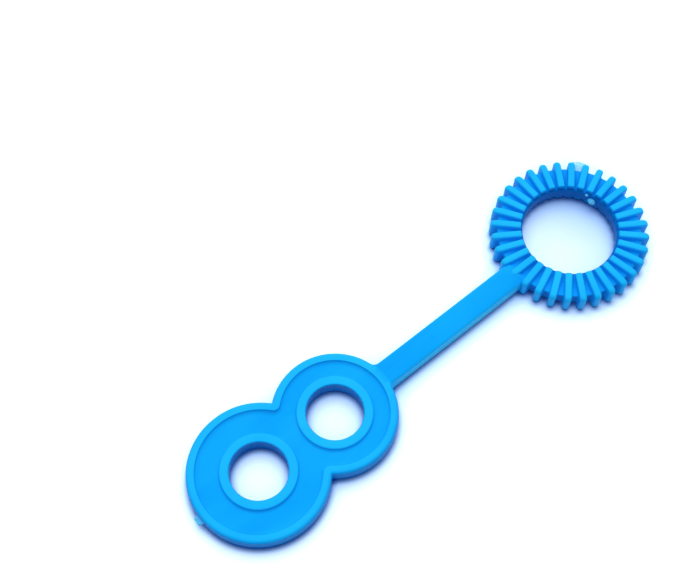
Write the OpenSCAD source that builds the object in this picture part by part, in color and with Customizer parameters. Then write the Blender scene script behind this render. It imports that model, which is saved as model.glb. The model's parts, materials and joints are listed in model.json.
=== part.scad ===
// Double-ended bubble wand: a ribbed dipping ring, a flat handle and a figure-eight head.
// The real wand is one moulding, so each node here is one feature of it, and the
// features meet face to face: the hoop inside the ring, its ribs, the handle, and the
// rim, web and two collared loops of the head, with the torn gate at the far end.
// The origin is the ring's centre at half its thickness. +X runs along the handle to
// the head and +Z up through the ring. Both broad sides of the wand are alike.

/* [Ring] */
// Diameter over the tips of the ribs
ring_d = 29.4; // [28.8:0.1:34]
// Width of the hoop inside the ring, from the hole to the floors between the ribs
hoop_w = 4.7; // [3:0.05:5]
// Thickness over the ribs
ring_t = 4.3; // [4:0.1:6]
// Radius on the hoop's outer edges
hoop_edge_r = 0.3; // [0.1:0.05:0.5]

/* [Ribs] */
// Number of ribs round the ring, the first of them on the handle's line
rib_count = 32; // [24:1:34]
// Width of a rib
rib_w = 1.4; // [1:0.1:1.5]
// Height of a rib above either flat face of the hoop
rib_rise = 0.95; // [0.5:0.05:1.3]
// Distance that a rib stands out past the hoop
rib_reach = 1.3; // [0.6:0.1:1.7]
// Distance from the hole to the inner ends of the ribs
rib_setback = 0.5; // [0:0.05:0.8]
// Radius on the outer corners of a rib
rib_tip_r = 0.9; // [0.3:0.1:1.2]
// Radius on the inner ends of a rib
rib_end_r = 0.3; // [0.1:0.05:0.4]

/* [Handle] */
// Length between the rib tips and the head
handle_l = 30.25; // [20:0.05:60]
// Width of the handle
handle_w = 4.6; // [3:0.1:6]
// Thickness of the handle
handle_t = 3.4; // [2.6:0.1:3.8]
// How far the handle laps over the hoop's flat faces
handle_lap = 0.6; // [0.4:0.1:1.5]
// Radius of the fillets where the handle meets the head
root_r = 1.2; // [0.5:0.1:3]

/* [Head] */
// Diameter of the hole in the near lobe
near_loop_d = 10.1; // [8:0.1:14]
// Diameter of the hole in the far lobe
far_loop_d = 10.2; // [8:0.1:14]
// Width of the collars round the two holes
collar_w = 1.7; // [1.2:0.05:2.5]
// Radius on the edges of the collars
collar_edge_r = 0.3; // [0.1:0.05:0.5]
// Width of the web round the near lobe's collar
near_web_w = 2.85; // [1.8:0.05:4]
// Width of the web round the far lobe's collar
far_web_w = 4.15; // [1.8:0.05:5]
// Width of the web between the two collars
mid_web_w = 3.1; // [1.5:0.05:4]
// Thickness of the head over its rim and collars
head_t = 3.4; // [2.6:0.1:4]
// Width of the raised rim
rim_w = 1.5; // [1:0.1:1.8]
// Depth of the web below the rim on either side
recess_depth = 0.6; // [0.3:0.1:1]
// Radius of the rim's inner corners between the lobes
notch_r = 1.2; // [0.5:0.1:2.5]
// Radius on the outer edges of the handle and the head
edge_r = 0.4; // [0.1:0.05:0.8]

/* [Gate] */
// Length of the torn gate past the far lobe
gate_l = 0.9; // [0.4:0.1:3]
// Width of the gate where it leaves the lobe
gate_root_w = 2.2; // [1:0.1:4]
// Width of the gate at its torn end
gate_tip_w = 1.6; // [0.6:0.1:3]
// Thickness of the gate
gate_t = 1; // [0.4:0.1:2]

/* [Hidden] */
$fn = 96;
// Overrun of the cuts
cut = 0.5;
// How deep the notch's circle bites into the discs that it blends, so that they meet cleanly
sink = 0.01;
// How far short of its tangent point each fillet at the handle's root stops, so that it ends blunt
blunt = 0.3;
plastic = [0.05, 0.63, 0.95];
stressed_plastic = [0.45, 0.78, 0.95];

tip_r = ring_d / 2;
hoop_r = tip_r - rib_reach;
bore_r = hoop_r - hoop_w;
hoop_t = ring_t - 2 * rib_rise;
rib_pitch = 360 / rib_count;

near_collar_r = near_loop_d / 2 + collar_w;
far_collar_r = far_loop_d / 2 + collar_w;
near_web_r = near_collar_r + near_web_w;
far_web_r = far_collar_r + far_web_w;
near_r = near_web_r + rim_w;
far_r = far_web_r + rim_w;
lobe_pitch = near_collar_r + mid_web_w + far_collar_r;
near_x = tip_r + handle_l + near_r;
far_x = near_x + lobe_pitch;
web_t = head_t - 2 * recess_depth;

// Where a circle of radius r touches two circles, of radii a and b, whose centres lie
// on the X axis at zero and at d. The point has Y above zero.
function touching(a, b, d, r) =
    let (x = (d * d + (a + r) * (a + r) - (b + r) * (b + r)) / (2 * d))
    [x, sqrt((a + r) * (a + r) - x * x)];

notch = [near_x, 0] + touching(near_web_r - sink, far_web_r - sink, lobe_pitch, notch_r);
root_y = handle_w / 2 + root_r;
root_x = near_x - sqrt((near_r + root_r) * (near_r + root_r) - root_y * root_y);
root_tip_y = root_y * near_r / (near_r + root_r) - blunt;

function rib_name(i) = str("ring_rib_", i < 10 ? "0" : "", i);

// A strip from x0 to x1 and of thickness t, centred on the X axis. Its corners have the
// radius r0 at x0 and r1 at x1.
module strip(x0, x1, t, r0, r1) {
    translate([x0 + r0, -t / 2]) square([x1 - r1 - x0 - r0, t]);
    if (r0 > 0) strip_end(x0, x0 + r0, t, r0);
    if (r1 > 0) strip_end(x1 - r1, x1 - r1, t, r1);
}

// The rounded end of a strip: its flat from x on, and its corners' centres at corner_x
module strip_end(x, corner_x, t, r) {
    translate([x, r - t / 2]) square([r, t - 2 * r]);
    for (side = [-1, 1]) translate([corner_x, side * (t / 2 - r)]) circle(r);
}

module ring_hoop() {
    color(plastic) rotate_extrude() strip(bore_r, hoop_r, hoop_t, 0, hoop_edge_r);
}

// The whole depth of rib i, before the hoop is taken out of it
module rib_blank(i) {
    rotate((i - 1) * rib_pitch) rotate([90, 0, 0])
        linear_extrude(rib_w, center = true)
        strip(bore_r + rib_setback, tip_r, ring_t, rib_end_r, rib_tip_r);
}

// Rib i, which wraps over the hoop's top, outside and underside
module ring_rib(i) {
    color(plastic) difference() {
        rib_blank(i);
        ring_hoop();
    }
}

// Cuts the two fillets beside the handle's root, with the edge radius carried round them
module root_cutters() {
    for (side = [-1, 1]) translate([root_x, side * root_y]) rotate_extrude() difference() {
        translate([0, -handle_t / 2 - cut]) square([root_r + edge_r, handle_t + 2 * cut]);
        translate([root_r, edge_r - handle_t / 2]) square([edge_r + cut, handle_t - 2 * edge_r]);
        for (face = [-1, 1])
            translate([root_r + edge_r, face * (handle_t / 2 - edge_r)]) circle(edge_r);
    }
}

module root_plan() {
    translate([root_x, -root_tip_y]) square([near_x - root_x, 2 * root_tip_y]);
}

// The handle's end reaches in between the first rib and its neighbours to the hoop
module handle_bar() {
    start_x = hoop_r - handle_lap;
    color(plastic) difference() {
        union() {
            translate([start_x, 0, 0]) rotate([90, 0, 90]) linear_extrude(near_x - start_x)
                strip(-handle_w / 2, handle_w / 2, handle_t, edge_r, edge_r);
            difference() {
                linear_extrude(handle_t, center = true) root_plan();
                root_cutters();
            }
        }
        translate([near_x, 0, 0]) cylinder(r = near_r, h = handle_t + 2 * cut, center = true);
        ring_hoop();
        for (i = [0:2]) rib_blank(i);
    }
}

module lobe(x, r) {
    translate([x, 0, 0]) rotate_extrude() strip(0, r, head_t, 0, edge_r);
}

// All that lies inside the rim: two discs blended by the notch radius
module inside_rim(h) {
    translate([near_x, 0, 0]) cylinder(r = near_web_r, h = h, center = true);
    translate([far_x, 0, 0]) cylinder(r = far_web_r, h = h, center = true);
    linear_extrude(h, center = true) difference() {
        polygon([[near_x, 0], notch, [far_x, 0], [notch[0], -notch[1]]]);
        for (side = [-1, 1]) translate([notch[0], side * notch[1]]) circle(notch_r);
    }
}

// Under the handle's root the rim keeps its full thickness out to its edge
module head_rim() {
    color(plastic) difference() {
        union() {
            lobe(near_x, near_r);
            lobe(far_x, far_r);
            linear_extrude(head_t, center = true) intersection() {
                translate([near_x, 0]) circle(near_r);
                root_plan();
            }
        }
        inside_rim(head_t + 2 * cut);
    }
}

module head_web() {
    color(plastic) difference() {
        inside_rim(web_t);
        translate([near_x, 0, 0]) cylinder(r = near_collar_r, h = web_t + 2 * cut, center = true);
        translate([far_x, 0, 0]) cylinder(r = far_collar_r, h = web_t + 2 * cut, center = true);
    }
}

module collar(x, r) {
    color(plastic) translate([x, 0, 0]) rotate_extrude()
        strip(r - collar_w, r, head_t, collar_edge_r, collar_edge_r);
}

module near_loop_collar() {
    collar(near_x, near_collar_r);
}

module far_loop_collar() {
    collar(far_x, far_collar_r);
}

module gate_nub() {
    end_x = far_x + far_r + gate_l;
    color(stressed_plastic) difference() {
        linear_extrude(gate_t, center = true) polygon([
            [far_x + far_web_r, -gate_root_w / 2], [end_x, -gate_tip_w / 2],
            [end_x, gate_tip_w / 2], [far_x + far_web_r, gate_root_w / 2]
        ]);
        translate([far_x, 0, 0]) cylinder(r = far_r, h = gate_t + 2 * cut, center = true);
    }
}

ring_hoop();
for (i = [1:rib_count]) ring_rib(i);
handle_bar();
head_rim();
head_web();
near_loop_collar();
far_loop_collar();
gate_nub();
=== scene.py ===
"""Dresses the bubble wand: one moulding in glossy blue plastic, lying on a white table.

Every feature of the moulding is a mesh of its own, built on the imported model's sizes with
the roundings and fillets that the mould leaves. Lengths are in metres in the wand's own
frame: the ring's centre is the origin, +X runs along the handle and +Z up.
"""
import json
import math

import bmesh
import bpy
from bpy.props import FloatProperty, FloatVectorProperty, PointerProperty
from bpy.types import Operator, Panel, PropertyGroup
from mathutils import Matrix, Vector, noise


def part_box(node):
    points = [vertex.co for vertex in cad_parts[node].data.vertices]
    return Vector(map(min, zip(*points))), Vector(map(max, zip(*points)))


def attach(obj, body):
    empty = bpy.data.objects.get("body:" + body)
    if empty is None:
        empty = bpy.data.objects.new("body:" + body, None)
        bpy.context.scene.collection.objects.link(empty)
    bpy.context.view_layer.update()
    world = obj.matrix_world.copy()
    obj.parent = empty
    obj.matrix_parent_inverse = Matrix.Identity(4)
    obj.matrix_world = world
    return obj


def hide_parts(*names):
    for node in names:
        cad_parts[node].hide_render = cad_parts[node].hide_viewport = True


bl_info = {
    "name": "Bubble Wand",
    "version": (1, 0, 0),
    "blender": (4, 5, 0),
    "location": "View3D > Sidebar > Bubble Wand",
    "description": "Builds a ribbed bubble wand of blue plastic and the table it lies on",
    "category": "Add Mesh",
}

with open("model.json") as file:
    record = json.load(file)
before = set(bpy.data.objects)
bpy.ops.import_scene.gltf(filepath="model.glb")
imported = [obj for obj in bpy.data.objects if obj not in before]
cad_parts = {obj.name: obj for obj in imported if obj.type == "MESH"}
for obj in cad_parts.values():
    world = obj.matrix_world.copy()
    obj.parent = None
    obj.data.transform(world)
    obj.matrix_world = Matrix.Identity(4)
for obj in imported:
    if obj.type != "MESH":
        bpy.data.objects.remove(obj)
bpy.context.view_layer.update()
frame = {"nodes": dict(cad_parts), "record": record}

MM = 0.001
BODY = "root"
# Name of the value of painted light and shade that each point of a piece keeps
PAINTED_LIGHT = "thin_glow"
SENSOR = 36.0
CLIP_NEAR = 0.01
CLIP_FAR = 20
SHARP_ANGLE = math.radians(40)
QUARTER = math.pi / 2
SAME_SPOT = 0.0005 * MM

# How many steps each kind of curve is cut into
LATHE_STEPS = 288
LOBE_STEPS = 240
NOTCH_STEPS = 10
EDGE_STEPS = 8
SECTION_STEPS = 6
SLOPE_STEPS = 10
RIB_FLAT_STEPS = 8
RIB_TURN_STEPS = 16
RIB_FOOT_STEPS = 4
RIB_SHOULDER_STEPS = 6
RAMP_STEPS = 8
HANDLE_STEPS = 40
HANDLE_COLUMNS = 12
FILLET_STEPS = 16
TABLE_STEPS = 24

# Length over which the handle's crown dies out before the head
CROWN_FADE = 4 * MM

# How the plastics shine
GLOSSY_SHINE = {"IOR": 1.5, "Specular IOR Level": 0.08, "Specular Tint": (0.02, 0.6, 1, 1)}
TORN_SHINE = {"IOR": 1.5, "Specular IOR Level": 0.3}

# Noise of the materials as waves per metre, octaves and stretch, then what each one does
STREAKS = (160, 3, (0.35, 1, 1))
STREAK_SPREAD = (-0.07, 0.07)
GLOSS_GRAIN = (1400, 2)
GLOSS_ROUGHNESS = (0.3, 0.42)
GLOSS_RELIEF = (2600, 3)
GLOSS_RELIEF_HEIGHT = 0.02 * MM
GLOSS_RELIEF_STRENGTH = 0.25
TEAR_STREAKS = (1800, 4)
TEAR_SPREAD = (0, 0.6)
TEAR_GRAIN = (3000, 2)
TEAR_ROUGHNESS = (0.45, 0.7)
TEAR_RELIEF = (4000, 4)
TEAR_RELIEF_HEIGHT = 0.05 * MM
TEAR_RELIEF_STRENGTH = 0.5
TABLE_GRAIN = (40, 3)
TABLE_GRAIN_SPREAD = (-0.02, 0.02)
NOISE_LOW = 0.3
NOISE_HIGH = 0.7

# The torn gate: its noise's seed and waves per metre, and how much of length, width and height is torn
GATE_SEED = 5
GATE_WAVES = 2200
GATE_TEAR = (0.35, 0.3, 0.5)

# The ribs that the film of flash joins, and each drip's turn round the hole, height and size as shares
FILM_RIBS = (19, 20)
DRIPS = ((math.radians(-164.5), 0.1, 1), (math.radians(-156), 0.9, 0.4))

# The table's shade near the wand. Each stop says how open a spot is to the light, and its colour then
SHADE_REACH = 1.25 * MM
SHADE_LEAN = math.radians(32)
SHADE_SAMPLES = 8
SHADE_STOPS = (
    (0.18, (0.0, 0.01, 0.12)),
    (0.40, (0.035, 0.09, 0.19)),
    (0.72, (0.43, 0.50, 0.59)),
    (0.95, (0.61, 0.68, 0.75)),
)
WIDE_SHADE_REACH = 7 * MM
WIDE_SHADE = (0.52, 0.80, 1.0)
HOLE_SHADE = (-5.4 * MM, -2.6 * MM, 0)
HOLE_SHADE_REACH = 20 * MM
HOLE_SHADE_DEPTH = 0.65
HOLE_SHADE_TINT = (0.30, 0.47, 0.72)
TABLE_LIFT = {"Color": (0, 0.15, 1, 1), "Strength": 0.06}
TABLE_BOUNCE = (0.75, 0.78, 0.82, 1)
SKY_TINT = (0.93, 0.96, 1, 1)
LAMP_TINT = (1, 0.985, 0.96)


def mount(name):
    """Where a hole of the record lies along the wand, and its radius."""
    row = next(m for m in frame["record"]["mounts"] if m["name"] == name)
    return row["pos_m"][0], row["dims"]["r_mm"] * MM


class Ring:
    """The ring's sizes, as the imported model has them."""

    bore = mount("ring_bore")[1]
    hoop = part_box("ring_hoop")[1].x
    hoop_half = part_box("ring_hoop")[1].z
    rib_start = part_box("ring_rib_01")[0].x
    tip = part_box("ring_rib_01")[1].x
    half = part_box("ring_rib_01")[1].z
    rib_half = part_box("ring_rib_01")[1].y
    ribs = sorted(name for name in frame["nodes"] if name.startswith("ring_rib"))


class Head:
    """The sizes of the head and the handle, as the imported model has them."""

    near_x, near_bore = mount("near_loop_bore")
    far_x, far_bore = mount("far_loop_bore")
    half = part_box("head_rim")[1].z
    near = near_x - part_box("head_rim")[0].x
    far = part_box("head_rim")[1].x - far_x
    near_web = near_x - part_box("head_web")[0].x
    far_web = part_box("head_web")[1].x - far_x
    web_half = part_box("head_web")[1].z
    near_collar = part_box("near_loop_collar")[1].x - near_x
    far_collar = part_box("far_loop_collar")[1].x - far_x
    handle_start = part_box("handle_bar")[0].x
    handle_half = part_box("handle_bar")[1].z


class PaintedLight:
    """Painted light and shade on the plastic, from 0 where painted shade makes its colour deepest to 1
    where painted light makes it palest.
    """

    raised_wall = 0.3
    raised_flat = 0.42
    loop_wall_loss = 0.25
    loop_wall_reach = 0.5 * MM
    rim_wall_loss = 0.2
    rim_wall_reach = 0.6 * MM
    hoop_wall = 0.04
    hoop_flat = 0.33
    hoop_brim = 0.1
    hoop_past_ribs = 0.6 * MM
    rib_foot = 0.4
    rib_top = 0.32
    rib_tip = 0.2
    rib_corner = 0.07
    rib_end_loss = 0.34
    handle_flat = 0.46
    handle_side = 0.86
    web = 0.52
    torn = 0.5


def length(name, description, default):
    """A length that a user may change."""
    return FloatProperty(name=name, description=description, default=default * MM, min=0, unit="LENGTH",
                         precision=5)


def colour(name, description, default):
    """A colour that a user may change."""
    return FloatVectorProperty(name=name, description=description, default=default, min=0, max=1, size=3,
                               subtype="COLOR")


def angle(name, description, degrees):
    """An angle that a user may change."""
    return FloatProperty(name=name, description=description, default=math.radians(degrees), subtype="ANGLE")


class WandSizes(PropertyGroup):
    """Roundings, fillets and other small sizes that the mould gives the wand."""

    hoop_round: length("Hoop's outer edge", "Rounding of the hoop's outer edges", 0.3)
    bore_round: length("Hoop's inner edge", "Rounding of the hoop's edges at the hole", 0.25)
    rib_corner: length("Rib's corners", "Rounding of the long corners of a rib", 0.3)
    rib_nose: length("Rib's nose", "Rounding of a rib's tip, seen from above", 0.58)
    rib_draft: length("Rib's draft", "How far a rib's sides lean in from its foot to its top", 0.06)
    rib_end: length("Rib's inner end", "Rounding of a rib's inner end", 0.25)
    rib_toe: length("Rib's toe", "How far a rib's inner end runs on towards the hole", 0.2)
    rib_tip: length("Rib's tip", "Rounding of a rib's outer corners", 0.9)
    rib_foot: length("Rib's foot", "Fillet where a rib rises from the hoop", 0.12)
    handle_width: length("Handle's width", "Width of the handle", 4.6)
    handle_crown: length("Handle's crown", "How far its broad sides fall from the middle to the edges", 0.1)
    handle_ramp: length("Handle's ramp", "Length over which the handle rises from the hoop", 0.9)
    root_fillet: length("Root fillet", "Fillet where the handle meets the head", 1.2)
    handle_round: length("Handle's edge", "Rounding of the handle's long edges", 0.5)
    handle_swell: length("Handle's swell", "How far the handle swells up where it meets the ring", 0.28)
    handle_swell_reach: length("Reach of the swell", "From the ring to where the swell has died out", 4.5)
    outer_round: length("Outer edge", "Rounding of the head's outer edges", 0.7)
    seam_rise: length("Seam's rise", "How far the mould's parting line stands out", 0.04)
    seam_half: length("Seam's half width", "Half the width of the mould's parting line", 0.22)
    outer_notch: length("Outer notch", "Fillet in the notch between the lobes", 0.25)
    rim_round: length("Rim's inner edge", "Rounding of the rim's inner edge", 0.12)
    inner_notch: length("Inner notch", "Fillet of the rim's inner corners between the lobes", 1.2)
    rim_slope: length("Rim's slope", "How far the web's edge runs out from the rim as it rises", 1.0)
    rim_slope_rise: length("Rise of the rim's slope", "How far the web's edge rises to the rim", 0.45)
    collar_slope: length("Collars' slope", "How far the web runs out from the collars as it rises", 0.5)
    collar_slope_rise: length("Rise of the collars' slope", "How far the web rises to the collars", 0.28)
    collar_round: length("Collar's edge", "Rounding of the collars' edges", 0.3)
    film_reach: length("Film's reach", "How far the film of flash stands out past the ribs' tips", 0.4)
    film_height: length("Film's height", "Height of the film's outer part over the middle plane", 1.5)
    film_half: length("Film's half thickness", "Half the thickness of the film of flash", 0.09)
    drip_half: length("Drip's radius", "Half the length of the bit of flash inside the ring's hole", 0.8)


class WandColours(PropertyGroup):
    """The plastic's colours, and how it shines."""

    plastic: colour("Plastic", "The plastic on its broad faces", (0.004, 0.37, 0.95))
    # The thin plastic's colour serves as painted light, and the deep plastic's colour serves as painted
    # shade
    lit_thin_plastic: colour("Thin plastic", "The plastic where light shines through", (0.02, 0.57, 1.0))
    shaded_plastic: colour("Deep plastic", "The plastic where it is thickest", (0.0, 0.13, 0.52))
    torn_plastic: colour("Torn plastic", "The plastic where it was torn and went pale", (0.10, 0.50, 0.90))
    film: colour("Film", "The thin film of flash that the mould leaves", (0.42, 0.80, 0.95))


class WandStage(PropertyGroup):
    """The view, the table and the light."""

    aim: FloatVectorProperty(name="Aim", description="The point that the camera aims at",
                             default=(39.661 * MM, -18.833 * MM, 0), unit="LENGTH", precision=5)
    distance: length("Distance", "From the camera to the aim", 225.468)
    azimuth: angle("Azimuth", "The camera's direction from the aim, from +X towards +Y", 51.302)
    elevation: angle("Elevation", "The camera's height over the wand's middle plane", 64.667)
    roll: angle("Roll", "Turn of the camera about its own line of sight", -0.576)
    lens: FloatProperty(name="Lens", description="Focal length in millimetres", default=65.403)
    tilt: angle("Tilt", "Slope of the wand on the table, since the ring is thicker than the head", 0.366)
    floor_reach: length("Table's reach", "Half the width of the table", 700)
    sky: FloatProperty(name="Sky", description="Strength of the light from all round", default=0.6)
    key: FloatProperty(name="Key", description="Strength of the large lamp, in watts", default=29)
    key_azimuth: angle("Key's azimuth", "The large lamp's direction, from +X towards +Y", -125)
    key_elevation: angle("Key's elevation", "The large lamp's height over the table", 60)
    key_distance: length("Key's distance", "From the large lamp to the wand", 2000)
    key_width: length("Key's width", "Width of the large lamp", 2070)


def arc(centre, radius, start, end, steps):
    """Points on an arc about a centre, from one angle to another, both ends included."""
    turns = (start + (end - start) * k / steps for k in range(steps + 1))
    return [(centre[0] + radius * math.cos(a), centre[1] + radius * math.sin(a)) for a in turns]


def ring_section(inner, outer, half, inner_round, outer_round, steps=SECTION_STEPS):
    """The section of a plain ring: radius and height of each point, anticlockwise."""
    corners = (
        (inner + inner_round, inner_round - half, inner_round, 2),
        (outer - outer_round, outer_round - half, outer_round, 3),
        (outer - outer_round, half - outer_round, outer_round, 0),
        (inner + inner_round, half - inner_round, inner_round, 1),
    )
    points = []
    for x, z, radius, quarter in corners:
        points += arc((x, z), radius, quarter * QUARTER, (quarter + 1) * QUARTER, steps)
    return points


def loft(bm, rows, around=True, looped=False):
    """Joins rows of points with faces. A row may close on itself, and the last row may join the first."""
    made = [[bm.verts.new(point) for point in row] for row in rows]
    following = made[1:] + made[:1] if looped else made[1:]
    for here, there in zip(made, following):
        count = len(here)
        for k in range(count if around else count - 1):
            after = (k + 1) % count
            bm.faces.new((here[k], here[after], there[after], there[k]))
    return made


def lathe(bm, section, centre_x, turns=LATHE_STEPS):
    """Turns a section about an upright axis that crosses the X axis at centre_x."""
    rows = []
    for k in range(turns):
        a = math.tau * k / turns
        rows.append([(centre_x + r * math.cos(a), r * math.sin(a), z) for r, z in section])
    loft(bm, rows, looped=True)


def smooth(x):
    """Rises from 0 to 1 with level ends."""
    x = min(max(x, 0.0), 1.0)
    return x * x * (3 - 2 * x)


def cap(bm, rows):
    """Closes a loft at its first and last rows."""
    bm.faces.new(rows[0])
    bm.faces.new(list(reversed(rows[-1])))


def add_piece(name, bm, material, light_paint, nodes):
    """Turns a built mesh into a piece that stands for some nodes, with painted light and shade stored at
    each point.
    """
    bmesh.ops.remove_doubles(bm, verts=bm.verts[:], dist=SAME_SPOT)
    bmesh.ops.recalc_face_normals(bm, faces=bm.faces[:])
    mesh = bpy.data.meshes.new(name)
    bm.to_mesh(mesh)
    bm.free()
    mesh.shade_smooth()
    mesh.set_sharp_from_angle(angle=SHARP_ANGLE)
    # Each point keeps its painted light and shade
    values = mesh.attributes.new(PAINTED_LIGHT, "FLOAT", "POINT")
    for vertex, value in zip(mesh.vertices, values.data):
        value.value = light_paint(vertex.co, vertex.normal)
    mesh.materials.append(material)
    piece = bpy.data.objects.new(name, mesh)
    bpy.context.scene.collection.objects.link(piece)
    level = piece.modifiers.new("Level faces", "WEIGHTED_NORMAL")
    level.keep_sharp = True
    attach(piece, BODY)
    if nodes:
        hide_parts(*nodes)
    return piece


def even_light_paint(level):
    """Painted light and shade that are the same all over a piece."""
    return lambda spot, normal: level


def raised_light_paint(spot, normal):
    """Painted light and shade: the head's rim and collars are paler on their tops than on their walls."""
    return PaintedLight.raised_wall + PaintedLight.raised_flat * abs(normal.z)


def collar_light_paint(spot, normal):
    """Painted shade makes the walls inside the loops deepest in colour."""
    near = math.hypot(spot.x - Head.near_x, spot.y) - Head.near_bore
    far = math.hypot(spot.x - Head.far_x, spot.y) - Head.far_bore
    inside = 1 - smooth(min(abs(near), abs(far)) / PaintedLight.loop_wall_reach)
    return raised_light_paint(spot, normal) - PaintedLight.loop_wall_loss * inside * (1 - abs(normal.z))


def rim_light_paint(spot, normal):
    """Painted shade: the rim's outer wall is a little deeper in colour than its top."""
    near = abs(math.hypot(spot.x - Head.near_x, spot.y) - Head.near)
    far = abs(math.hypot(spot.x - Head.far_x, spot.y) - Head.far)
    outside = 1 - smooth(min(near, far) / PaintedLight.rim_wall_reach)
    return raised_light_paint(spot, normal) - PaintedLight.rim_wall_loss * outside * (1 - abs(normal.z))


class Nodes:
    """Lays out the shader nodes of a material or of the world."""

    def __init__(self, name, made=bpy.data.materials):
        self.material = made.new(name)
        self.material.use_nodes = True
        self.tree = self.material.node_tree
        self.tree.nodes.clear()

    def add(self, kind, values=(), **settings):
        """A node with some of its settings, and its unlinked sockets' values by name."""
        node = self.tree.nodes.new(kind)
        for key, value in settings.items():
            setattr(node, key, value)
        for key, value in dict(values).items():
            node.inputs[key].default_value = value
        return node

    def link(self, source, target):
        self.tree.links.new(source, target)

    def noise(self, scale, detail, stretch=(1, 1, 1)):
        """Noise in the wand's own frame, with scale in waves per metre."""
        place = self.add("ShaderNodeTexCoord")
        mapping = self.add("ShaderNodeMapping", {"Scale": stretch})
        texture = self.add("ShaderNodeTexNoise", {"Scale": scale, "Detail": detail})
        self.link(place.outputs["Object"], mapping.inputs["Vector"])
        self.link(mapping.outputs["Vector"], texture.inputs["Vector"])
        return texture.outputs["Fac"]

    def spread(self, value, low, high):
        """Stretches noise round its middle to a range."""
        levels = {"From Min": NOISE_LOW, "From Max": NOISE_HIGH, "To Min": low, "To Max": high}
        spread = self.add("ShaderNodeMapRange", levels)
        self.link(value, spread.inputs["Value"])
        return spread.outputs["Result"]

    def hole_shade(self):
        """Rises from 0 to the shade's depth towards the shaded side of the ring's hole."""
        place = self.add("ShaderNodeTexCoord")
        off = self.add("ShaderNodeVectorMath", {1: HOLE_SHADE}, operation="DISTANCE")
        self.link(place.outputs["Object"], off.inputs[0])
        levels = {"From Min": 0, "From Max": HOLE_SHADE_REACH, "To Min": HOLE_SHADE_DEPTH, "To Max": 0}
        fall = self.add("ShaderNodeMapRange", levels, interpolation_type="SMOOTHSTEP")
        self.link(off.outputs["Value"], fall.inputs["Value"])
        return fall.outputs["Result"]

    def multiply(self, first, second):
        """Multiplies two colours."""
        return self.blend(1, first, second, "MULTIPLY")

    def blend(self, factor, first, second, kind="MIX"):
        """Mixes two colours, each a colour or another node's output."""
        mix = self.add("ShaderNodeMix", data_type="RGBA", blend_type=kind)
        if isinstance(factor, bpy.types.NodeSocket):
            self.link(factor, mix.inputs["Factor"])
        else:
            mix.inputs["Factor"].default_value = factor
        for name, source in (("A", first), ("B", second)):
            socket = next(s for s in mix.inputs if s.name == name and s.type == "RGBA")
            if isinstance(source, bpy.types.NodeSocket):
                self.link(source, socket)
            else:
                socket.default_value = (*source, 1)
        return next(s for s in mix.outputs if s.type == "RGBA")

    def finish_plastic(self, shader, grain, roughness, relief, height, strength):
        """Gives a plastic its grained gloss and its relief, and makes it the material's surface."""
        self.link(self.spread(self.noise(*grain), *roughness), shader.inputs["Roughness"])
        bump = self.add("ShaderNodeBump", {"Strength": strength, "Distance": height})
        self.link(self.noise(*relief), bump.inputs["Height"])
        self.link(bump.outputs["Normal"], shader.inputs["Normal"])
        output = self.add("ShaderNodeOutputMaterial")
        self.link(shader.outputs["BSDF"], output.inputs["Surface"])


def blue_plastic(context):
    """Glossy polyethylene: faint flow streaks, finely grained gloss, and painted light and shade from the
    values stored on each piece, paler on edges, tops and sides and deeper on walls.
    """
    found = bpy.data.materials.get("glossy_blue_plastic")
    if found:
        return found
    colours = context.scene.wand_colours
    nodes = Nodes("glossy_blue_plastic")
    painted_value = nodes.add("ShaderNodeAttribute", attribute_name=PAINTED_LIGHT)
    streaks = nodes.spread(nodes.noise(*STREAKS), *STREAK_SPREAD)
    share = nodes.add("ShaderNodeMath", operation="ADD")
    nodes.link(painted_value.outputs["Fac"], share.inputs[0])
    nodes.link(streaks, share.inputs[1])
    # The ramp turns the stored values into painted shade, plain plastic and painted light
    ramp = nodes.add("ShaderNodeValToRGB")
    ramp.color_ramp.elements[0].color = (*colours.shaded_plastic, 1)
    ramp.color_ramp.elements[1].color = (*colours.lit_thin_plastic, 1)
    ramp.color_ramp.elements.new(0.5).color = (*colours.plastic, 1)
    nodes.link(share.outputs["Value"], ramp.inputs["Fac"])
    shader = nodes.add("ShaderNodeBsdfPrincipled", GLOSSY_SHINE)
    nodes.link(ramp.outputs["Color"], shader.inputs["Base Color"])
    nodes.finish_plastic(shader, GLOSS_GRAIN, GLOSS_ROUGHNESS, GLOSS_RELIEF, GLOSS_RELIEF_HEIGHT,
                         GLOSS_RELIEF_STRENGTH)
    return nodes.material


def torn_plastic(context, name="torn_pale_plastic", pale=None):
    """Torn polyethylene: pale where it stretched, ragged and dull."""
    found = bpy.data.materials.get(name)
    if found:
        return found
    colours = context.scene.wand_colours
    nodes = Nodes(name)
    streaks = nodes.spread(nodes.noise(*TEAR_STREAKS), *TEAR_SPREAD)
    body = nodes.blend(streaks, pale or colours.torn_plastic, colours.lit_thin_plastic)
    shader = nodes.add("ShaderNodeBsdfPrincipled", TORN_SHINE)
    nodes.link(body, shader.inputs["Base Color"])
    nodes.finish_plastic(shader, TEAR_GRAIN, TEAR_ROUGHNESS, TEAR_RELIEF, TEAR_RELIEF_HEIGHT,
                         TEAR_RELIEF_STRENGTH)
    return nodes.material


def shown_rays(nodes):
    """Marks the rays that see the bright backdrop: the camera's, reflected ones and those let through."""
    rays = nodes.add("ShaderNodeLightPath")
    seen = rays.outputs["Is Camera Ray"]
    for kind in ("Is Glossy Ray", "Is Transmission Ray"):
        either = nodes.add("ShaderNodeMath", operation="MAXIMUM")
        nodes.link(seen, either.inputs[0])
        nodes.link(rays.outputs[kind], either.inputs[1])
        seen = either.outputs["Value"]
    return seen


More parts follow.
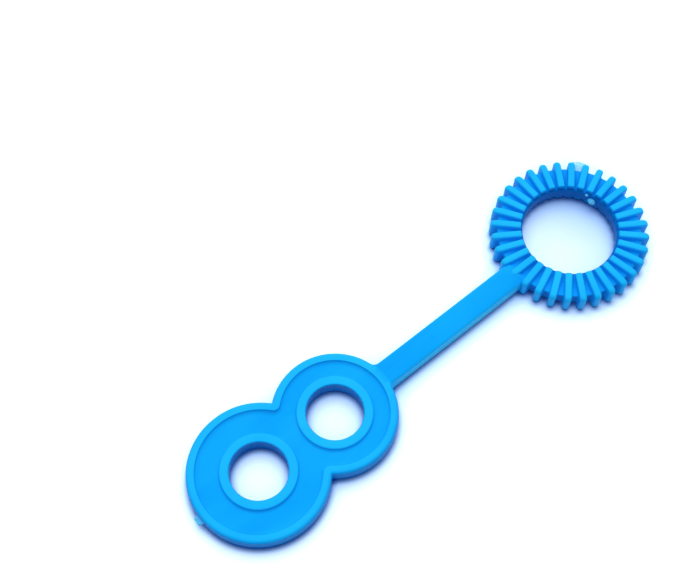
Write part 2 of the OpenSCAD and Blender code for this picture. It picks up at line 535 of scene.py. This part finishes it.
def table_top(stage):
    """White table, seen bright by the camera, with painted shade tinted blue as the plastic would tint it.

    One painted shade lies close to the wand and leans away from the lamp, a faint one lies wide round it,
    and a third lies in the ring's hole. From below the table can be seen through.
    """
    nodes = Nodes("white_table")
    lean = nodes.add("ShaderNodeNormal")
    lean.outputs["Normal"].default_value = direction(stage.key_azimuth, QUARTER - SHADE_LEAN)
    close = nodes.add("ShaderNodeAmbientOcclusion", {"Distance": SHADE_REACH}, samples=SHADE_SAMPLES)
    nodes.link(lean.outputs["Normal"], close.inputs["Normal"])
    shade = nodes.add("ShaderNodeValToRGB")
    ramp = shade.color_ramp
    for element, (position, tint) in zip(ramp.elements, (SHADE_STOPS[0], SHADE_STOPS[-1])):
        element.position = position
        element.color = (*tint, 1)
    for position, tint in SHADE_STOPS[1:-1]:
        ramp.elements.new(position).color = (*tint, 1)
    nodes.link(close.outputs["AO"], shade.inputs["Fac"])
    hole = nodes.hole_shade()
    grain = nodes.spread(nodes.noise(*TABLE_GRAIN), *TABLE_GRAIN_SPREAD)
    # Painted shade in the ring's hole, with the table's own faint grain
    hole_shade_and_grain = nodes.add("ShaderNodeMath", operation="ADD")
    nodes.link(hole, hole_shade_and_grain.inputs[0])
    nodes.link(grain, hole_shade_and_grain.inputs[1])
    tint = nodes.blend(hole_shade_and_grain.outputs["Value"], (1, 1, 1), HOLE_SHADE_TINT)
    wide = nodes.add("ShaderNodeAmbientOcclusion", {"Distance": WIDE_SHADE_REACH}, samples=SHADE_SAMPLES)
    wide_tint = nodes.blend(wide.outputs["AO"], WIDE_SHADE, (1, 1, 1))
    colour = nodes.multiply(nodes.multiply(shade.outputs["Color"], tint), wide_tint)
    bright = nodes.add("ShaderNodeBsdfDiffuse")
    nodes.link(colour, bright.inputs["Color"])
    doubled = nodes.add("ShaderNodeAddShader")
    nodes.link(bright.outputs["BSDF"], doubled.inputs[0])
    nodes.link(bright.outputs["BSDF"], doubled.inputs[1])
    lift = nodes.add("ShaderNodeEmission", TABLE_LIFT)
    shown = nodes.add("ShaderNodeAddShader")
    nodes.link(doubled.outputs["Shader"], shown.inputs[0])
    nodes.link(lift.outputs["Emission"], shown.inputs[1])
    dull = nodes.add("ShaderNodeBsdfDiffuse", {"Color": TABLE_BOUNCE})
    mix = nodes.add("ShaderNodeMixShader")
    nodes.link(shown_rays(nodes), mix.inputs["Fac"])
    nodes.link(dull.outputs["BSDF"], mix.inputs[1])
    nodes.link(shown.outputs["Shader"], mix.inputs[2])
    clear = nodes.add("ShaderNodeBsdfTransparent")
    side = nodes.add("ShaderNodeNewGeometry")
    whole = nodes.add("ShaderNodeMixShader")
    nodes.link(side.outputs["Backfacing"], whole.inputs["Fac"])
    nodes.link(mix.outputs["Shader"], whole.inputs[1])
    nodes.link(clear.outputs["BSDF"], whole.inputs[2])
    output = nodes.add("ShaderNodeOutputMaterial")
    nodes.link(whole.outputs["Shader"], output.inputs["Surface"])
    return nodes.material


def head_outline(near, far, notch, offset):
    """The outline of the two lobes, anticlockwise from the far lobe's lower notch.

    The lobes have the given radii, and a fillet fills the notch on either side. An offset
    moves the whole outline outwards, or inwards if it is below zero.
    """
    pitch = Head.far_x - Head.near_x
    x = (pitch ** 2 + (near + notch) ** 2 - (far + notch) ** 2) / (2 * pitch)
    y = math.sqrt((near + notch) ** 2 - x ** 2)
    centre = (Head.near_x + x, y)
    near_turn = math.atan2(y, x)
    far_turn = math.atan2(y, x - pitch)
    upper = arc(centre, notch - offset, far_turn - math.pi, near_turn - math.pi, NOTCH_STEPS)
    lower = [(px, -py) for px, py in reversed(upper)]
    far_arc = arc((Head.far_x, 0), far + offset, -far_turn, far_turn, LOBE_STEPS)
    near_arc = arc((Head.near_x, 0), near + offset, near_turn, math.tau - near_turn, LOBE_STEPS)
    return far_arc[:-1] + upper[:-1] + near_arc[:-1] + lower[:-1]


class Root:
    """The two fillets where the handle meets the near lobe."""

    def __init__(self, sizes):
        self.fillet = sizes.root_fillet
        self.y = sizes.handle_width / 2 + self.fillet
        self.reach = Head.near + self.fillet
        self.x = Head.near_x - math.sqrt(self.reach ** 2 - self.y ** 2)
        self.lean = math.atan2(self.y, Head.near_x - self.x)

    def end_turn(self, inset):
        """Where a fillet set in by inset meets the lobe's circle, as an angle about the fillet's centre."""
        radius = self.fillet + inset
        share = (self.reach ** 2 + radius ** 2 - Head.near ** 2) / (2 * self.reach * radius)
        return -self.lean - math.acos(min(share, 1.0))

    def lobe_radius(self, x, y, inset):
        """How far the near lobe reaches towards a point, where the handle's root may cover its edge."""
        turn = math.atan2(abs(y), Head.near_x - x)
        if turn >= self.lean:
            return Head.near - inset
        off = self.reach * math.sin(self.lean - turn)
        radius = self.fillet + inset
        if off >= radius:
            return Head.near
        reach = self.reach * math.cos(self.lean - turn) - math.sqrt(radius ** 2 - off ** 2)
        return min(reach, Head.near)


def edge_levels(radius, steps=EDGE_STEPS, height=None):
    """Inset and drop of the points round a quarter of an edge, from the side to the flat."""
    height = radius if height is None else height
    turns = [QUARTER * k / steps for k in range(steps + 1)]
    return [(radius * (1 - math.cos(a)), height * (1 - math.sin(a))) for a in turns]


def side_levels(sizes, radius, half):
    """The levels of an outer edge, with the mould's parting line at the middle of the side."""
    seam = [(-sizes.seam_rise, half - sizes.seam_half / 3), (0, half - sizes.seam_half)]
    return seam + edge_levels(radius)


def build_hoop(bm, sizes):
    lathe(bm, ring_section(Ring.bore, Ring.hoop, Ring.hoop_half, sizes.bore_round, sizes.hoop_round), 0)


def rib_stations(sizes):
    """The rib's spine round the hoop's upper half: base, top, how far the sides draw in, and corner."""
    pivot = Vector((Ring.hoop - sizes.hoop_round, Ring.hoop_half - sizes.hoop_round))
    tip = Vector((Ring.tip - sizes.rib_tip, Ring.half - sizes.rib_tip))
    stations = []
    start = Ring.rib_start - sizes.rib_toe
    for inset, drop in edge_levels(sizes.rib_end):
        x = start + inset
        top = Vector((x, Ring.half - drop))
        stations.append((Vector((x, Ring.hoop_half)), top, drop, sizes.rib_corner))
    flat_start = start + sizes.rib_end
    for k in range(1, RIB_FLAT_STEPS):
        x = flat_start + (pivot.x - flat_start) * k / RIB_FLAT_STEPS
        stations.append((Vector((x, Ring.hoop_half)), Vector((x, Ring.half)), 0.0, sizes.rib_corner))
    for k in range(RIB_TURN_STEPS + 1):
        share = k / RIB_TURN_STEPS
        a = QUARTER * (1 - share)
        ray = Vector((math.cos(a), math.sin(a)))
        corner = sizes.rib_corner + (sizes.rib_nose - sizes.rib_corner) * smooth(share)
        top = tip_hit(pivot, ray, tip, sizes.rib_tip)
        stations.append((pivot + sizes.hoop_round * ray, top, 0.0, corner))
    return stations


def tip_hit(pivot, ray, tip, radius):
    """Where a ray from the hoop's corner leaves the rib's rounded outer corner."""
    if ray.x * (Ring.half - pivot.y) <= ray.y * (tip.x - pivot.x):
        return pivot + ray * ((Ring.half - pivot.y) / ray.y)
    if ray.y * (Ring.tip - pivot.x) <= ray.x * (tip.y - pivot.y):
        return pivot + ray * ((Ring.tip - pivot.x) / ray.x)
    gap = pivot - tip
    along = gap.dot(ray)
    return pivot + ray * (math.sqrt(along ** 2 - gap.length_squared + radius ** 2) - along)


def rib_section(base, top, drawn, corner, sizes):
    """One section across a rib: its distance across and its place up from the base, from foot to foot."""
    height = (top - base).length
    half = Ring.rib_half - drawn
    foot_centre = (half + sizes.rib_foot, sizes.rib_foot)
    foot = arc(foot_centre, sizes.rib_foot, -QUARTER, -2 * QUARTER, RIB_FOOT_STEPS)
    shoulder_centre = (half - sizes.rib_draft - corner, height - corner)
    shoulder = arc(shoulder_centre, corner, 0, QUARTER, RIB_SHOULDER_STEPS)
    side = foot + shoulder
    return side + [(-across, up) for across, up in reversed(side)], (top - base) / height


def build_rib(bm, sizes, turn):
    """A rib that wraps over the hoop's top, outside and underside."""
    stations = rib_stations(sizes)
    flip = Vector((1, -1))
    under = [(base * flip, top * flip, drawn, corner) for base, top, drawn, corner in reversed(stations)]
    rows = []
    for base, top, drawn, corner in stations + under:
        points, up = rib_section(base, top, drawn, corner, sizes)
        row = []
        for across, height in points:
            spot = base + up * height
            row.append(Matrix.Rotation(turn, 3, "Z") @ Vector((spot.x, across, spot.y)))
        rows.append(row)
    cap(bm, loft(bm, rows))


def build_handle(bm, sizes):
    """The flat handle: it rises from the hoop, and its sides run into the near lobe with two fillets."""
    root = Root(sizes)
    half_width = sizes.handle_width / 2
    start = Head.handle_start
    ramp_end = start + sizes.handle_ramp
    straight = [start + sizes.handle_ramp * k / RAMP_STEPS for k in range(RAMP_STEPS)]
    # The sections crowd towards the ring, where the handle swells
    crowding = 1.3
    shares = [(k / HANDLE_STEPS) ** crowding for k in range(HANDLE_STEPS)]
    straight += [ramp_end + (root.x - ramp_end) * share for share in shares]
    columns = [1 - 2 * k / HANDLE_COLUMNS for k in range(HANDLE_COLUMNS + 1)]
    rows = []
    for x in straight:
        rise = smooth((x - start) / sizes.handle_ramp)
        swell = sizes.handle_swell * rise * (1 - smooth((x - Ring.hoop) / sizes.handle_swell_reach))
        thick = Ring.hoop_half + (Head.handle_half - Ring.hoop_half) * rise
        crown = sizes.handle_crown * rise * smooth((root.x - x) / CROWN_FADE)
        levels = side_levels(sizes, sizes.handle_round, thick - crown)
        side = [(x, half_width - inset) for inset, _ in levels]
        rows.append(handle_row(side, levels, columns, thick - crown, crown + swell, 0))
    for k in range(FILLET_STEPS + 1):
        share = smooth(k / FILLET_STEPS)
        rounding = sizes.handle_round + (sizes.outer_round - sizes.handle_round) * share
        levels = side_levels(sizes, rounding, Head.handle_half)
        side = []
        for inset, _ in levels:
            end = root.end_turn(inset)
            turn = -QUARTER + (end + QUARTER) * k / FILLET_STEPS
            radius = root.fillet + inset
            side.append((root.x + radius * math.cos(turn), root.y + radius * math.sin(turn)))
        rows.append(handle_row(side, levels, columns, Head.handle_half, 0, share))
    cap(bm, loft(bm, rows))


def handle_row(side, levels, columns, thick, swell, bulge):
    """One closed row round the handle: up its right side, over the top, down the left and back underneath.

    The top swells between the edges, and the last rows bulge towards the lobe's circle, on which
    the handle ends.
    """
    def bend(x, y, edge_y):
        circle = Head.near_x - math.sqrt(Head.near ** 2 - y ** 2)
        edge_circle = Head.near_x - math.sqrt(Head.near ** 2 - edge_y ** 2)
        return x + (circle - edge_circle) * bulge

    top = [(x, y, thick - drop) for (x, y), (_, drop) in zip(side, levels)]
    edge_x, edge_y = side[-1]
    for share in columns[1:-1]:
        y = edge_y * share
        top.append((bend(edge_x, y, edge_y), y, thick + swell * (1 - share ** 2)))
    top += [(x, -y, z) for x, y, z in reversed(top[:len(side)])]
    return top + [(x, y, -z) for x, y, z in reversed(top)]


def build_rim(bm, sizes):
    """The raised rim round both lobes. Under the handle's root it keeps its full thickness."""
    root = Root(sizes)
    outer_levels = side_levels(sizes, sizes.outer_round, Head.half)
    section = [("outer", inset, Head.half - drop) for inset, drop in outer_levels]
    inner_levels = reversed(edge_levels(sizes.rim_round))
    section += [("inner", inset, Head.half - drop) for inset, drop in inner_levels]
    section += [(side, inset, -z) for side, inset, z in reversed(section)]
    loops = []
    for side, inset, z in section:
        if side == "outer":
            points = head_outline(Head.near, Head.far, sizes.outer_notch, -inset)
            points = [root_point(root, x, y, inset) for x, y in points]
        else:
            points = head_outline(Head.near_web, Head.far_web, sizes.inner_notch, inset)
        loops.append([(x, y, z) for x, y in points])
    loft(bm, loops, looped=True)


def root_point(root, x, y, inset):
    """Moves a point of the rim's outer edge out to the lobe's circle where the handle's root covers it."""
    away = Vector((x - Head.near_x, y))
    if x > Head.near_x:
        return x, y
    reach = root.lobe_radius(x, y, inset)
    spot = away.normalized() * reach
    return Head.near_x + spot.x, spot.y


def build_web(bm, sizes):
    """The thin web inside the rim, with a slope up to the rim and to both collars."""
    rim_slope = edge_levels(sizes.rim_slope, SLOPE_STEPS, sizes.rim_slope_rise)
    collar_slope = edge_levels(sizes.collar_slope, EDGE_STEPS, sizes.collar_slope_rise)
    edges = []
    for side in (1, -1):
        steps = [(away, side * (Head.web_half + rise)) for away, rise in rim_slope]
        rows = [[(x, y, z) for x, y in head_outline(Head.near_web, Head.far_web, sizes.inner_notch, -away)]
                for away, z in steps]
        made = [loft(bm, rows)]
        steps = [(away, side * (Head.web_half + rise)) for away, rise in collar_slope]
        for centre, radius in ((Head.near_x, Head.near_collar), (Head.far_x, Head.far_collar)):
            rows = [[(x, y, z) for x, y in arc((centre, 0), radius + away, 0, math.tau, LOBE_STEPS)[:-1]]
                    for away, z in steps]
            made.append(loft(bm, rows))
        rim_edges = []
        for rows in made:
            last = rows[-1]
            rim_edges += [bm.edges.get((last[k], last[(k + 1) % len(last)])) for k in range(len(last))]
        up = (0, 0, side)
        bmesh.ops.triangle_fill(bm, use_beauty=True, use_dissolve=False, edges=rim_edges, normal=up)
        edges.append([rows[0] for rows in made])
    for upper, lower in zip(*edges):
        for k in range(len(upper)):
            after = (k + 1) % len(upper)
            bm.faces.new((upper[k], upper[after], lower[after], lower[k]))


def build_collar(bm, sizes, centre_x, bore, outer):
    lathe(bm, ring_section(bore, outer, Head.half, sizes.collar_round, sizes.collar_round), centre_x)


def build_gate(bm):
    """The torn stub of the gate: a short tapered tongue with a ragged end."""
    low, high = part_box("gate_nub")
    noise.seed_set(GATE_SEED)
    steps, across, layers = 8, 10, 6
    narrowing, thinning = 0.3, 0.25
    rows = []
    for k in range(steps + 1):
        along = k / steps
        x = low.x + (high.x - low.x) * along
        half_y = high.y * (1 - narrowing * along)
        half_z = high.z * (1 - thinning * along)
        row = []
        for j in range(across + layers + across + layers):
            row.append(gate_point(j, across, layers, x, half_y, half_z, along, high.x - low.x))
        rows.append(row)
    made = loft(bm, rows)
    for row in (made[0], made[-1]):
        middle = bm.verts.new(sum((v.co for v in row), Vector()) / len(row))
        for k in range(len(row)):
            bm.faces.new((row[k], row[(k + 1) % len(row)], middle))


def gate_point(j, across, layers, x, half_y, half_z, along, reach):
    """A point on the tongue's section, torn more the nearer it is to the end."""
    if j < across:
        y, z = -half_y + 2 * half_y * j / across, half_z
    elif j < across + layers:
        y, z = half_y, half_z - 2 * half_z * (j - across) / layers
    elif j < 2 * across + layers:
        y, z = half_y - 2 * half_y * (j - across - layers) / across, -half_z
    else:
        y, z = -half_y, -half_z + 2 * half_z * (j - 2 * across - layers) / layers
    ragged = noise.noise_vector(Vector((x, y, z)) * GATE_WAVES)
    back, inwards, downwards = GATE_TEAR
    return (x - reach * back * along * abs(ragged.x),
            y * (1 - inwards * along * abs(ragged.y)),
            z * (1 - downwards * along * abs(ragged.z)))


def build_film(bm, sizes):
    """A thin film of flash that rises from the hoop between two ribs and stands out past their tips."""
    first, last = (math.tau * k / len(Ring.ribs) for k in FILM_RIBS)
    across, along = 14, 8
    least, most = 0.2, 1.0
    noise_step, noise_row = 0.9, 0.3
    edge_power = 4
    root = Ring.hoop - sizes.hoop_round
    rows = []
    for j in range(across + 1):
        turn = first + (last - first) * j / across
        ragged = noise.noise(Vector((j * noise_step, noise_row, 0)))
        share = (most + least) / 2 + (most - least) / 2 * ragged
        reach = Ring.tip + sizes.film_reach * share * math.sqrt(math.sin(math.pi * j / across))
        upper, lower = [], []
        for k in range(along + 1):
            r = root + (reach - root) * k / along
            z = Ring.hoop_half + (sizes.film_height - Ring.hoop_half) * smooth(2 * k / along)
            thick = sizes.film_half * (1 - (k / along) ** edge_power)
            upper.append((r * math.cos(turn), r * math.sin(turn), z + thick))
            lower.append((r * math.cos(turn), r * math.sin(turn), z - thick))
        rows.append(upper + lower[-2::-1])
    cap(bm, loft(bm, rows))


def build_drips(bm, sizes):
    """Rounded bits of flash that cling to the hoop's wall inside the hole."""
    stand_off = 0.3
    flatness, lowness = 0.75, 0.7
    waves, unevenness = 1.7, 0.22
    for turn, height, share in DRIPS:
        radius = sizes.drip_half * share
        place = Vector((Ring.bore - stand_off * radius, 0, Ring.hoop_half * height))
        spot = Matrix.Rotation(turn, 4, "Z") @ Matrix.Translation(place)
        made = bmesh.ops.create_icosphere(bm, subdivisions=4, radius=1)["verts"]
        for vertex in made:
            ragged = 1 + unevenness * noise.noise(vertex.co * waves)
            shape = Vector((vertex.co.x * flatness, vertex.co.y, vertex.co.z * lowness))
            vertex.co = spot @ (shape * radius * ragged)


class WAND_OT_stage(Operator):
    """Sets up the table, the light and the camera"""

    bl_idname = "wand.stage"
    bl_label = "Table, Light and Camera"

    def execute(self, context):
        stage = context.scene.wand_stage
        self.add_table(stage)
        self.add_light(context, stage)
        self.add_camera(context, stage)
        context.scene.view_settings.view_transform = "Standard"
        return {"FINISHED"}

    def add_table(self, stage):
        """The wand rests on the ring and on the head's far end, so the table leans in the wand's frame."""
        bm = bmesh.new()
        bmesh.ops.create_grid(bm, x_segments=TABLE_STEPS, y_segments=TABLE_STEPS, size=stage.floor_reach)
        turn = Matrix.Rotation(stage.tilt, 4, "Y")
        mesh = bpy.data.meshes.new("table")
        bm.to_mesh(mesh)
        bm.free()
        ring_end = Vector((Ring.tip - bpy.context.scene.wand_sizes.rib_tip, 0, -Ring.half))
        mesh.transform(Matrix.Translation(ring_end) @ turn.inverted())
        mesh.materials.append(table_top(stage))
        table = bpy.data.objects.new("table", mesh)
        bpy.context.scene.collection.objects.link(table)

    def add_light(self, context, stage):
        nodes = Nodes("studio", bpy.data.worlds)
        context.scene.world = nodes.material
        white = nodes.add("ShaderNodeBackground", {"Color": (1, 1, 1, 1)})
        sky = nodes.add("ShaderNodeBackground", {"Color": SKY_TINT, "Strength": stage.sky})
        mix = nodes.add("ShaderNodeMixShader")
        nodes.link(shown_rays(nodes), mix.inputs["Fac"])
        nodes.link(sky.outputs["Background"], mix.inputs[1])
        nodes.link(white.outputs["Background"], mix.inputs[2])
        output = nodes.add("ShaderNodeOutputWorld")
        nodes.link(mix.outputs["Shader"], output.inputs["Surface"])
        lamp = bpy.data.lights.new("key", "AREA")
        lamp.shape = "DISK"
        lamp.size = stage.key_width
        lamp.energy = stage.key
        lamp.color = LAMP_TINT
        toward = direction(stage.key_azimuth, stage.key_elevation)
        key = bpy.data.objects.new("key", lamp)
        key.location = Vector((stage.aim[0], 0, 0)) + toward * stage.key_distance
        key.rotation_euler = toward.to_track_quat("Z", "Y").to_euler()
        context.scene.collection.objects.link(key)

    def add_camera(self, context, stage):
        back = direction(stage.azimuth, stage.elevation)
        right = Vector((0, 0, 1)).cross(back).normalized()
        up = back.cross(right)
        pose = Matrix((right, up, back)).transposed() @ Matrix.Rotation(stage.roll, 3, "Z")
        data = bpy.data.cameras.new("camera")
        data.sensor_width = SENSOR
        data.lens = stage.lens
        data.clip_start = CLIP_NEAR
        data.clip_end = CLIP_FAR
        camera = bpy.data.objects.new("camera", data)
        place = Vector(stage.aim) + back * stage.distance
        camera.matrix_world = Matrix.Translation(place) @ pose.to_4x4()
        context.scene.collection.objects.link(camera)
        context.scene.camera = camera


def direction(azimuth, elevation):
    """The unit vector at an azimuth from +X and a height over the wand's middle plane."""
    return Vector((math.cos(azimuth) * math.cos(elevation), math.sin(azimuth) * math.cos(elevation),
                   math.sin(elevation)))


class WAND_OT_hoop(Operator):
    """Builds the hoop inside the ring"""

    bl_idname = "wand.hoop"
    bl_label = "Hoop"

    def execute(self, context):
        bm = bmesh.new()
        build_hoop(bm, context.scene.wand_sizes)

        # Painted light and shade: the hoop is deepest in colour at the hole and on its walls, and paler on
        # its flat faces, most towards the outer brim
        def light_paint(spot, normal):
            from_bore = spot.xy.length - Ring.bore
            outside = smooth(from_bore / (Ring.rib_start - Ring.bore + PaintedLight.hoop_past_ribs))
            brim = smooth((spot.xy.length - Ring.rib_start) / (Ring.hoop - Ring.rib_start))
            flat = PaintedLight.hoop_flat + PaintedLight.hoop_brim * brim
            return outside * (PaintedLight.hoop_wall + flat * abs(normal.z))

        add_piece("hoop", bm, blue_plastic(context), light_paint, ["ring_hoop"])
        return {"FINISHED"}


class WAND_OT_ribs(Operator):
    """Builds the ribs that wrap over the hoop"""

    bl_idname = "wand.ribs"
    bl_label = "Ribs"

    def execute(self, context):
        sizes = context.scene.wand_sizes

        # Painted light and shade: a rib is paler up its flanks, on its top and at its outer tip, and deeper
        # on faces that turn inwards to the hole
        def light_paint(spot, normal):
            rise = smooth((abs(spot.z) - Ring.hoop_half) / (Ring.half - Ring.hoop_half))
            reach = smooth((spot.xy.length - Ring.hoop) / (Ring.tip - Ring.hoop))
            inward = max(0, -normal.xy.dot(spot.xy) / spot.xy.length)
            raised = max(PaintedLight.rib_top * rise, PaintedLight.rib_tip * reach) + PaintedLight.rib_corner * rise * reach
            return PaintedLight.rib_foot + raised - PaintedLight.rib_end_loss * inward

        for k, node in enumerate(Ring.ribs):
            bm = bmesh.new()
            build_rib(bm, sizes, math.tau * k / len(Ring.ribs))
            add_piece(node.replace("ring_", ""), bm, blue_plastic(context), light_paint, [node])
        return {"FINISHED"}


class WAND_OT_handle(Operator):
    """Builds the handle"""

    bl_idname = "wand.handle"
    bl_label = "Handle"

    def execute(self, context):
        sizes = context.scene.wand_sizes

        # Painted light: the handle's sides are paler than its broad faces
        def light_paint(spot, normal):
            return PaintedLight.handle_flat * abs(normal.z) + PaintedLight.handle_side * (1 - abs(normal.z))

        bm = bmesh.new()
        build_handle(bm, sizes)
        add_piece("handle", bm, blue_plastic(context), light_paint, ["handle_bar"])
        return {"FINISHED"}


class WAND_OT_rim(Operator):
    """Builds the raised rim round the head"""

    bl_idname = "wand.rim"
    bl_label = "Rim"

    def execute(self, context):
        bm = bmesh.new()
        build_rim(bm, context.scene.wand_sizes)
        add_piece("rim", bm, blue_plastic(context), rim_light_paint, ["head_rim"])
        return {"FINISHED"}


class WAND_OT_web(Operator):
    """Builds the web inside the rim"""

    bl_idname = "wand.web"
    bl_label = "Web"

    def execute(self, context):
        bm = bmesh.new()
        build_web(bm, context.scene.wand_sizes)
        add_piece("web", bm, blue_plastic(context), even_light_paint(PaintedLight.web), ["head_web"])
        return {"FINISHED"}


class WAND_OT_collars(Operator):
    """Builds the collars round the two loops of the head"""

    bl_idname = "wand.collars"
    bl_label = "Collars"

    def execute(self, context):
        sizes = context.scene.wand_sizes
        collars = (
            ("near_collar", Head.near_x, Head.near_bore, Head.near_collar, "near_loop_collar"),
            ("far_collar", Head.far_x, Head.far_bore, Head.far_collar, "far_loop_collar"),
        )
        for name, centre_x, bore, outer, node in collars:
            bm = bmesh.new()
            build_collar(bm, sizes, centre_x, bore, outer)
            add_piece(name, bm, blue_plastic(context), collar_light_paint, [node])
        return {"FINISHED"}


class WAND_OT_gate(Operator):
    """Builds the torn stub of the gate"""

    bl_idname = "wand.gate"
    bl_label = "Torn Gate"

    def execute(self, context):
        bm = bmesh.new()
        build_gate(bm)
        add_piece("torn_gate", bm, torn_plastic(context), even_light_paint(PaintedLight.torn), ["gate_nub"])
        return {"FINISHED"}


class WAND_OT_flash(Operator):
    """Builds the bits of flash that the mould left on the ring"""

    bl_idname = "wand.flash"
    bl_label = "Flash"

    def execute(self, context):
        sizes = context.scene.wand_sizes
        film = torn_plastic(context, "pale_film", context.scene.wand_colours.film)
        for name, build, material in (
            ("flash_film", build_film, film),
            ("flash_drips", build_drips, torn_plastic(context)),
        ):
            bm = bmesh.new()
            build(bm, sizes)
            add_piece(name, bm, material, even_light_paint(PaintedLight.torn), [])
        return {"FINISHED"}


class WAND_PT_sidebar(Panel):
    """Lists the wand's sizes, colours and building steps"""

    bl_idname = "WAND_PT_sidebar"
    bl_label = "Bubble Wand"
    bl_space_type = "VIEW_3D"
    bl_region_type = "UI"
    bl_category = "Bubble Wand"

    def draw(self, context):
        for group in (context.scene.wand_sizes, context.scene.wand_colours, context.scene.wand_stage):
            box = self.layout.box()
            for name in group.__annotations__:
                box.prop(group, name)
        for operator in OPERATORS:
            self.layout.operator(operator.bl_idname)


OPERATORS = (
    WAND_OT_stage, WAND_OT_hoop, WAND_OT_ribs, WAND_OT_handle, WAND_OT_rim, WAND_OT_web, WAND_OT_collars,
    WAND_OT_gate, WAND_OT_flash,
)
GROUPS = {"wand_sizes": WandSizes, "wand_colours": WandColours, "wand_stage": WandStage}


def register():
    for group in GROUPS.values():
        bpy.utils.register_class(group)
    for name, group in GROUPS.items():
        setattr(bpy.types.Scene, name, PointerProperty(type=group))
    for operator in OPERATORS:
        bpy.utils.register_class(operator)
    bpy.utils.register_class(WAND_PT_sidebar)


def unregister():
    bpy.utils.unregister_class(WAND_PT_sidebar)
    for operator in reversed(OPERATORS):
        bpy.utils.unregister_class(operator)
    for name in GROUPS:
        delattr(bpy.types.Scene, name)
    for group in reversed(GROUPS.values()):
        bpy.utils.unregister_class(group)


def main():
    register()
    bpy.ops.wand.stage()
    bpy.ops.wand.hoop()
    bpy.ops.wand.ribs()
    bpy.ops.wand.handle()
    bpy.ops.wand.rim()
    bpy.ops.wand.web()
    bpy.ops.wand.collars()
    bpy.ops.wand.gate()
    bpy.ops.wand.flash()


if __name__ == "__main__":
    main()
